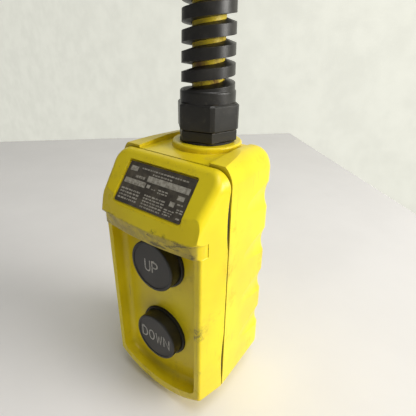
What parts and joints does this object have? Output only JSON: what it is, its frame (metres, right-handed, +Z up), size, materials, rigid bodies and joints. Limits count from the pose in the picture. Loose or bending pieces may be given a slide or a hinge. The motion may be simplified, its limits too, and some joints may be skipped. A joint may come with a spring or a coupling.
{
  "type": "pendant control station",
  "caption": "Hanging two-button hoist pendant: hooded shell, spring-return push buttons, cord gland with an open spiral bend relief, cord and ceiling canopy.",
  "frame": {"origin": "middle of the canopy's rim, the plane that lies against the ceiling or hoist", "axes": "+Z up along the cord, the buttons face -Y, +X is on the right seen from the front"},
  "size_m": [0.074, 0.086, 0.3385],
  "materials": {
    "housing_yellow": "thick glossy yellow moulding, scuffed and dirty",
    "seal_black": "matte black seal",
    "label_aluminium": "thin label plate, stained",
    "brass": "plain brass",
    "zinc_steel": "zinc plated",
    "spring_steel": "bright spring wire",
    "gland_black": "moulded black plastic, worn grey on its edges",
    "cap_grey": "dark grey moulded cap",
    "disc_grey": "dark grey disc with light engraved direction words",
    "operator_grey": "dark grey collar and barrel",
    "inner_plastic": "plain moulded plastic",
    "cord_yellow": "yellow jacket, dirty",
    "relief_black": "flexible black moulding",
    "canopy_grey": "grey painted casting",
    "wire_black": "insulated core",
    "wire_red": "insulated core",
    "wire_blue": "insulated core",
    "wire_green": "insulated core"
  },
  "bodies": {
    "station": {"back_box": "housing_yellow", "bend_relief": "relief_black", "bracket_screws": "zinc_steel", "canopy": "canopy_grey", "canopy_cord_end": "cord_yellow", "canopy_gland_body": "gland_black", "canopy_gland_grommet": "seal_black", "canopy_gland_nut": "gland_black", "canopy_gland_washer": "seal_black", "canopy_locknut": "gland_black", "canopy_terminal_strip": "inner_plastic", "canopy_wire_common": "wire_black", "canopy_wire_down": "wire_blue", "canopy_wire_earth": "wire_green", "canopy_wire_up": "wire_red", "cord": "cord_yellow", "cord_entry": "cord_yellow", "cover_gasket": "seal_black", "cover_inserts": "brass", "cover_screws": "zinc_steel", "down_block_screws": "zinc_steel", "down_contact_block": "inner_plastic", "down_fixed_contacts": "brass", "down_operator_body": "operator_grey", "down_operator_seal": "seal_black", "down_return_spring": "spring_steel", "down_ring_nut": "inner_plastic", "earth_lug": "brass", "earth_screw": "zinc_steel", "front_cover": "housing_yellow", "gland_body": "gland_black", "gland_grommet": "seal_black", "gland_nut": "gland_black", "gland_washer": "seal_black", "label_plate": "label_aluminium", "operator_bracket": "zinc_steel", "terminal_screws": "zinc_steel", "up_block_screws": "zinc_steel", "up_contact_block": "inner_plastic", "up_fixed_contacts": "brass", "up_operator_body": "operator_grey", "up_operator_seal": "seal_black", "up_return_spring": "spring_steel", "up_ring_nut": "inner_plastic", "wire_common": "wire_black", "wire_down": "wire_blue", "wire_earth": "wire_green", "wire_jumper": "wire_black", "wire_lugs": "brass", "wire_up": "wire_red"},
    "up_button": {"up_button_cap": "cap_grey", "up_legend_disc": "disc_grey", "up_plunger": "inner_plastic", "up_contact_bridge": "brass", "up_plunger_clip": "zinc_steel"},
    "down_button": {"down_button_cap": "cap_grey", "down_legend_disc": "disc_grey", "down_plunger": "inner_plastic", "down_contact_bridge": "brass", "down_plunger_clip": "zinc_steel"}
  },
  "joints": [
    {"name": "up_press", "type": "slide", "parent": "station", "child": "up_button", "axis": [0, 1, 0], "range_m": [0, 0.005], "stiffness_N_per_m": 900, "deforming": ["up_return_spring"]},
    {"name": "down_press", "type": "slide", "parent": "station", "child": "down_button", "axis": [0, 1, 0], "range_m": [0, 0.005], "stiffness_N_per_m": 900, "deforming": ["down_return_spring"]}
  ]
}
